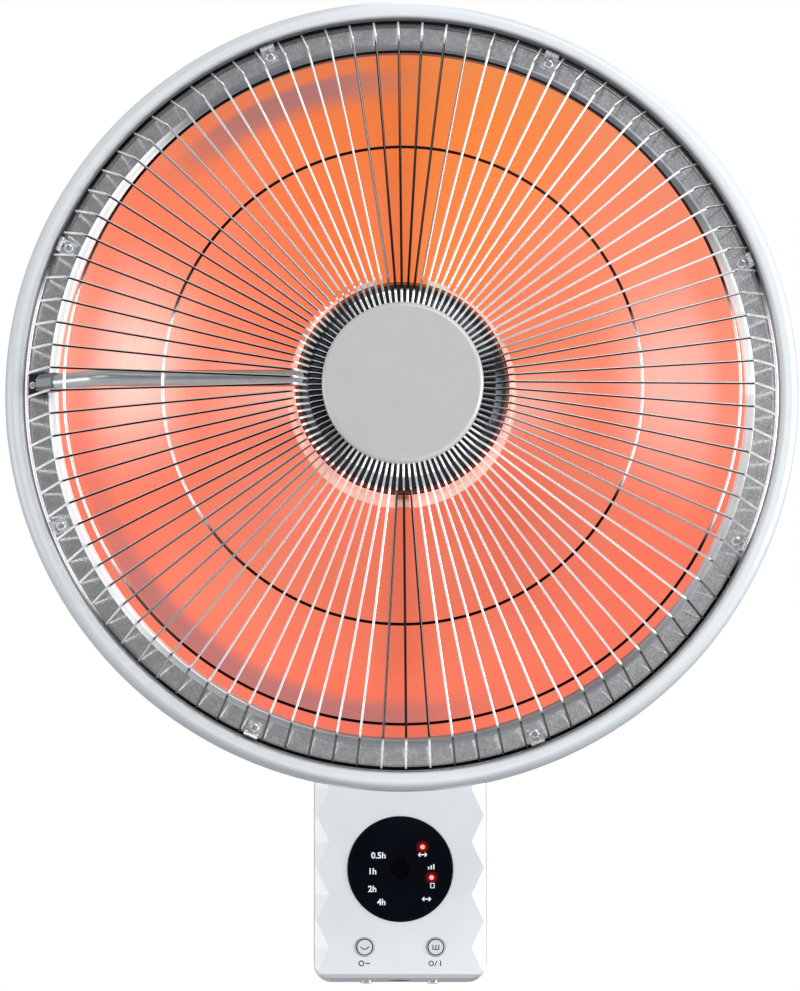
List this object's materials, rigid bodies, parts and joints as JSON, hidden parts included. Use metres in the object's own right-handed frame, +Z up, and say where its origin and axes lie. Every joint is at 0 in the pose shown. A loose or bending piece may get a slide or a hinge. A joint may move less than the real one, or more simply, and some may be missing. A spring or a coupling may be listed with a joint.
{
  "type": "parabolic heater",
  "caption": "Wall-mounted dish heater: a zigzag-edged control box carries a swinging and tilting round head with a polished bowl, ring lamp and radial wire guard.",
  "frame": {"origin": "centre of the four wall holes, on the wall plate's back face", "axes": "+Z up, +X to the right seen from the front, -Y out of the wall towards the room"},
  "size_m": [0.4499, 0.261, 0.5512],
  "materials": {
    "zinc_plate": "zinc coated",
    "box_white": "fine satin moulding",
    "screw_steel": "plated",
    "lens_black": "glossy black",
    "board_green": "solder mask",
    "light_red": "clear tinted",
    "receiver_black": "dark",
    "switch_black": "moulded",
    "parts_dark": "moulded and wound parts",
    "ceramic_white": "unglazed",
    "rubber_black": "matte",
    "bush_grey": "moulded",
    "motor_steel": "plated can",
    "turned_steel": "turned",
    "gear_ivory": "moulded",
    "key_white": "satin",
    "enamel_white": "powder coat",
    "cutout_brown": "moulded",
    "dish_polished": "polished, lit by the lamp",
    "band_zinc": "galvanised",
    "tab_steel": "galvanised",
    "ring_white": "glossy powder coat",
    "wire_chrome": "polished",
    "badge_satin": "satin",
    "plate_steel": "plain",
    "arm_chrome": "polished",
    "bracket_dark": "black oxide",
    "cup_dark": "dark polished",
    "clip_steel": "spring steel",
    "lamp_quartz": "quartz",
    "filament_glow": "glowing carbon",
    "lead_red": "silicone sleeve"
  },
  "bodies": {
    "base": {"wall_plate": "zinc_plate", "rear_housing": "box_white", "front_housing": "box_white", "housing_screws": "screw_steel", "lock_screws": "screw_steel", "display_lens": "lens_black", "display_board": "board_green", "indicator_lights": "light_red", "remote_receiver": "receiver_black", "button_switches": "switch_black", "power_board": "board_green", "power_board_parts": "parts_dark", "board_screws": "screw_steel", "buzzer": "switch_black", "terminal_block": "ceramic_white", "cord_gland": "rubber_black", "swivel_bush": "bush_grey", "swing_motor": "motor_steel", "motor_screws": "screw_steel"},
    "neck": {"neck_shaft": "turned_steel", "sector_gear": "gear_ivory", "shaft_clip": "turned_steel", "thrust_washer": "turned_steel", "neck_arm": "enamel_white"},
    "swing_pinion": {"swing_pinion": "gear_ivory", "motor_shaft": "turned_steel"},
    "timer_button": {"timer_button": "key_white"},
    "power_button": {"power_button": "key_white"},
    "head": {"tilt_bracket": "zinc_plate", "tilt_bolt": "turned_steel", "tilt_nut": "turned_steel", "tilt_washers": "turned_steel", "back_shell": "enamel_white", "back_cover": "enamel_white", "back_cover_screws": "screw_steel", "bracket_bolts": "turned_steel", "dish_spacers": "turned_steel", "thermal_cutout": "cutout_brown", "head_terminal": "ceramic_white", "reflector": "dish_polished", "rim_band": "band_zinc", "outer_ring": "ring_white", "guard_wires": "wire_chrome", "guard_rings": "wire_chrome", "guard_badge": "badge_satin", "badge_plate": "plate_steel", "badge_rivets": "screw_steel", "guard_tabs": "tab_steel", "rim_screws": "screw_steel", "arm_tube": "arm_chrome", "arm_bracket": "bracket_dark", "arm_screw": "screw_steel", "lamp_cup": "cup_dark", "lamp_holder": "ceramic_white", "cup_screws": "screw_steel", "lamp_clips": "clip_steel", "lamp_tube": "lamp_quartz", "lamp_filament": "filament_glow", "lamp_caps": "ceramic_white", "lamp_leads": "lead_red"}
  },
  "joints": [
    {"name": "head_swing", "type": "hinge", "parent": "base", "child": "neck", "pos_m": [0, -0.028, 0.125], "axis": [0, 0, 1], "range_deg": [-30, 30]},
    {"name": "head_tilt", "type": "hinge", "parent": "neck", "child": "head", "pos_m": [0, -0.042, 0.182], "axis": [1, 0, 0], "range_deg": [-10, 20]},
    {"name": "pinion_spin", "type": "hinge", "parent": "base", "child": "swing_pinion", "pos_m": [0.0241, -0.028, 0.106], "axis": [0, 0, 1], "range_deg": [-91, 91]},
    {"name": "timer_press", "type": "slide", "parent": "base", "child": "timer_button", "axis": [0, 1, 0], "range_m": [0, 0.0006], "stiffness_N_per_m": 1500},
    {"name": "power_press", "type": "slide", "parent": "base", "child": "power_button", "axis": [0, 1, 0], "range_m": [0, 0.0006], "stiffness_N_per_m": 1500}
  ],
  "couplings": [
    {"joint": "pinion_spin", "follows": "head_swing", "ratio": -3}
  ]
}
